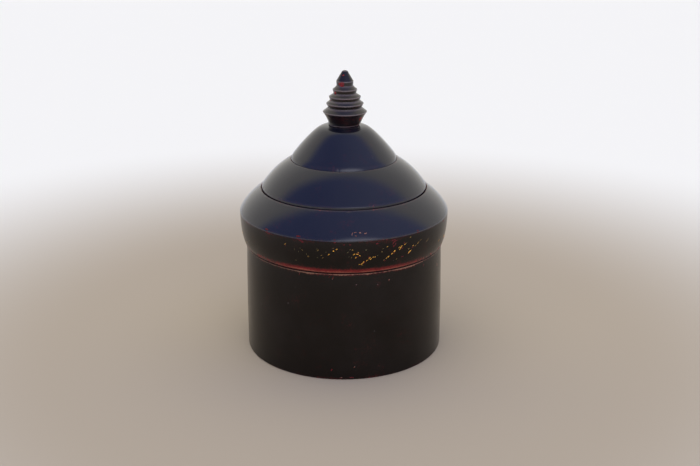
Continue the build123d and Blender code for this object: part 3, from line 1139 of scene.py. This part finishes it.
class LACQUERBOX_OT_drum(bpy.types.Operator):
    """Make the drum from its node's outline"""
    bl_idname = "lacquer_box.drum"
    bl_label = "Drum"

    def execute(self, context):
        worn = [WornEdge(rim_height / MM, crest=1.6, reach=2.5, strength=0.3),
                WornEdge(0, crest=0.6, reach=2.2, strength=0.3)]
        turned_piece("drum", "body_wall", [outside_black(), inside_red()], faces_inwards,
                     exposed=0.3, worn=worn, seams=[rim_height])
        return {"FINISHED"}


class LACQUERBOX_OT_inside(bpy.types.Operator):
    """Finish the collar, the bottom board, its hoop and the wedge"""
    bl_idname = "lacquer_box.inside"
    bl_label = "Inside and bottom"

    def execute(self, context):
        finishes = {
            "finial_wedge": shared_material("bare_wood", bare_wood),
            "mouth_collar": inside_red(),
            "base_disc": inside_red(),
            "foot_hoop": outside_black(),
        }
        for node, material in finishes.items():
            slots = frame["nodes"][node].data.materials
            slots.clear()
            slots.append(material)
        return {"FINISHED"}


class LACQUERBOX_OT_lid(bpy.types.Operator):
    """Make the lid's band and its three tiers"""
    bl_idname = "lacquer_box.lid"
    bl_label = "Lid"

    def execute(self, context):
        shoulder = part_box("lid_band")[1][2]
        worn = [WornEdge(rim_height / MM, crest=1.9, reach=4.2, strength=0.5),
                WornEdge(shoulder / MM, crest=0, reach=3.5, strength=0.24)]
        turned_piece("band", "lid_band", [outside_black(), inside_red()], faces_down_or_in,
                     exposed=0.3, worn=worn, seams=[rim_height])
        for name, node, rounds in (("shoulder_tier", "lid_lower_tier", 4),
                                   ("middle_tier", "lid_middle_tier", 4),
                                   ("crown_tier", "lid_upper_tier", 24)):
            turned_piece(name, node, [lid_black(), inside_red()], faces_down_or_in,
                         exposed=0.5, edge_reach=0.7 * MM, rounds=rounds)
        return {"FINISHED"}


class LACQUERBOX_OT_finial(bpy.types.Operator):
    """Turn the finial, with its slotted tenon"""
    bl_idname = "lacquer_box.finial"
    bl_label = "Finial"

    def execute(self, context):
        # The outline starts in the tenon's slot, with the middle and the corner of its roof and the
        # corner at its foot. The tenon's own foot comes next.
        outline = turned_outline("finial")
        slot_roof, slot_foot, foot = outline[1:4]
        turned = [Vector((0, foot.y))] + [as_worn(point) for point in outline[3:]]
        worn = [WornEdge(crown_top / MM + 0.4, crest=0, reach=0.8, strength=0.7)]
        piece = turned_piece("finial_turned", "finial", [finial_black()], never_inner, turned,
                             worn=worn, sides=220, edge_reach=0.5 * MM, shift=FINIAL_SHIFT)
        cut_slot(piece, slot_roof, slot_foot)
        return {"FINISHED"}


class LACQUERBOX_OT_marks(bpy.types.Operator):
    """Lay the traces of gold, the chips and the scars"""
    bl_idname = "lacquer_box.marks"
    bl_label = "Gold, chips and scars"

    def execute(self, context):
        gold, beside_gold = gold_traces()
        marks_piece("gold_traces", "lid_band", shared_material("gold_leaf", gold_leaf), gold)
        chips = shared_material("worn_red", chipped_red, 0.42)
        marks_piece("band_chips", "lid_band", chips, beside_gold + BAND_CHIPS)
        marks_piece("shoulder_chips", "lid_lower_tier", chips, SHOULDER_CHIPS)
        marks_piece("drum_chips", "body_wall", chips, DRUM_CHIPS)
        scars = shared_material("pale_scar", pale_scar)
        marks_piece("drum_scars", "body_wall", scars, DRUM_SCARS)
        marks_piece("shoulder_scars", "lid_lower_tier", scars, SHOULDER_SCARS)
        bright_chips = shared_material("chipped_red", chipped_red, 0.8)
        marks_piece("finial_chips", "finial", bright_chips, FINIAL_CHIPS, shift=FINIAL_SHIFT)
        return {"FINISHED"}


# Stage

def disc(name, radii, sides=96):
    """A flat round sheet of rings of faces."""
    made = bmesh.new()
    middle = made.verts.new((0, 0, 0))
    angles = [math.tau * i / sides for i in range(sides)]
    rings = [[made.verts.new((radius * math.cos(angle), radius * math.sin(angle), 0))
              for angle in angles] for radius in radii]
    for i in range(sides):
        onward = (i + 1) % sides
        made.faces.new((middle, rings[0][i], rings[0][onward]))
        for inner, outer in zip(rings, rings[1:]):
            made.faces.new((inner[i], outer[i], outer[onward], inner[onward]))
    return scene_object(name, made)


def floor_material(stage):
    """Pale paper that turns white away from the box."""
    fading_from, faded_at = 0.22, 0.66   # in metres from the axis
    material, tree, sockets = new_material("floor_paper", {
        "Roughness": 0.9, "Specular IOR Level": 0.1})
    away = vector_maths(tree, "LENGTH", place_on_piece(tree))
    share = ramp(tree, away, fading_from, faded_at)
    wire(tree, sockets, {"Base Color": mix_colour(tree, share, stage.floor, stage.far_floor)})
    return material


def dome_world(stage):
    """A dome of light: white from behind the box, blue from the front and overhead with a soft
    bright patch, and plain white to the camera."""
    # Between which parts of a direction the light changes
    left_to_right, front_to_back = (-0.55, 0.65), (0.0, 0.32)
    world = bpy.data.worlds.new("studio_dome")
    world.use_nodes = True
    tree = world.node_tree
    tree.nodes.clear()
    way = add_node(tree, "ShaderNodeTexCoord").outputs["Generated"]
    parts = add_node(tree, "ShaderNodeSeparateXYZ", {0: way}).outputs
    opening = ramp(tree, parts["X"], *left_to_right)
    front = mix_colour(tree, opening, stage.shade_light, stage.open_light)
    rise, turn = stage.glow_rise, stage.glow_turn
    patch_way = (math.cos(rise) * math.sin(turn), -math.cos(rise) * math.cos(turn), math.sin(rise))
    nearness = vector_maths(tree, "DOT_PRODUCT", way, patch_way)
    patch = ramp(tree, nearness, math.cos(stage.glow_spread), 1.0)
    added = add_node(tree, "ShaderNodeVectorMath", {0: tuple(stage.glow[:3]), "Scale": patch},
                     operation="SCALE").outputs["Vector"]
    sky = vector_maths(tree, "ADD", front, added)
    behind = ramp(tree, parts["Y"], *front_to_back)
    dome = add_node(tree, "ShaderNodeBackground", {
        "Color": mix_colour(tree, behind, sky, stage.back_light), "Strength": 1.0})
    plain = add_node(tree, "ShaderNodeBackground", {"Color": (1, 1, 1, 1), "Strength": 1.0})
    seen = add_node(tree, "ShaderNodeLightPath").outputs["Is Camera Ray"]
    mixed = add_node(tree, "ShaderNodeMixShader", {
        0: seen, 1: dome.outputs[0], 2: plain.outputs[0]})
    add_node(tree, "ShaderNodeOutputWorld", {"Surface": mixed.outputs[0]})
    bpy.context.scene.world = world


def wide_lamp(name, tilt, turn, strength, colour):
    """A light from a wide patch of sky that doesn't mirror in the box."""
    spread = math.radians(70)      # the size of the patch in the sky
    lamp = bpy.data.lights.new(name, "SUN")
    lamp.energy = strength
    lamp.color = colour
    lamp.angle = spread
    holder = bpy.data.objects.new(name, lamp)
    holder.rotation_euler = (math.radians(tilt), 0, math.radians(turn))
    holder.visible_glossy = False
    bpy.context.scene.collection.objects.link(holder)


class LACQUERBOX_OT_stage(bpy.types.Operator):
    """Lay the floor, light the box and place the camera"""
    bl_idname = "lacquer_box.stage"
    bl_label = "Stage"

    def execute(self, context):
        scene = context.scene
        stage = scene.lacquer_box_stage
        floor = disc("floor", [0.1 * 2 ** step for step in range(7)])
        floor.data.materials.append(floor_material(stage))
        dome_world(stage)
        wide_lamp("warm_key", tilt=30, turn=-25, strength=stage.key_strength,
                  colour=(1.0, 0.85, 0.42))
        lens = bpy.data.cameras.new("camera")
        lens.lens = stage.lens
        lens.sensor_width = 36
        lens.dof.use_dof = False
        camera = bpy.data.objects.new("camera", lens)
        camera.location = stage.camera_place
        camera.rotation_euler = (math.radians(90) - stage.camera_tilt, 0, 0)
        scene.collection.objects.link(camera)
        scene.camera = camera
        scene.view_settings.view_transform = "Standard"
        return {"FINISHED"}


class LACQUERBOX_PT_panel(bpy.types.Panel):
    """Lists the sizes, the colours and the operators"""
    bl_label = "Lacquer Box"
    bl_idname = "LACQUERBOX_PT_panel"
    bl_space_type = "VIEW_3D"
    bl_region_type = "UI"
    bl_category = "Lacquer Box"

    def draw(self, context):
        layout = self.layout
        for settings in (context.scene.lacquer_box_turning, context.scene.lacquer_box_lacquer,
                         context.scene.lacquer_box_stage):
            column = layout.column()
            for name in settings.__annotations__:
                column.prop(settings, name)
        for operator in OPERATORS:
            layout.operator(operator.bl_idname)


SETTINGS = {
    "lacquer_box_turning": TurningSettings,
    "lacquer_box_lacquer": LacquerSettings,
    "lacquer_box_stage": StageSettings,
}
OPERATORS = (
    LACQUERBOX_OT_stage,
    LACQUERBOX_OT_drum,
    LACQUERBOX_OT_inside,
    LACQUERBOX_OT_lid,
    LACQUERBOX_OT_finial,
    LACQUERBOX_OT_marks,
)


def register():
    """Registers the settings, the operators and the panel."""
    for name, settings in SETTINGS.items():
        bpy.utils.register_class(settings)
        setattr(bpy.types.Scene, name, PointerProperty(type=settings))
    for operator in OPERATORS:
        bpy.utils.register_class(operator)
    bpy.utils.register_class(LACQUERBOX_PT_panel)


def unregister():
    """Takes away what register adds."""
    bpy.utils.unregister_class(LACQUERBOX_PT_panel)
    for operator in reversed(OPERATORS):
        bpy.utils.unregister_class(operator)
    for name, settings in SETTINGS.items():
        delattr(bpy.types.Scene, name)
        bpy.utils.unregister_class(settings)


def main():
    """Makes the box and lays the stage."""
    register()
    bpy.ops.lacquer_box.stage()
    bpy.ops.lacquer_box.drum()
    bpy.ops.lacquer_box.inside()
    bpy.ops.lacquer_box.lid()
    bpy.ops.lacquer_box.finial()
    bpy.ops.lacquer_box.marks()


if __name__ == "__main__":
    main()
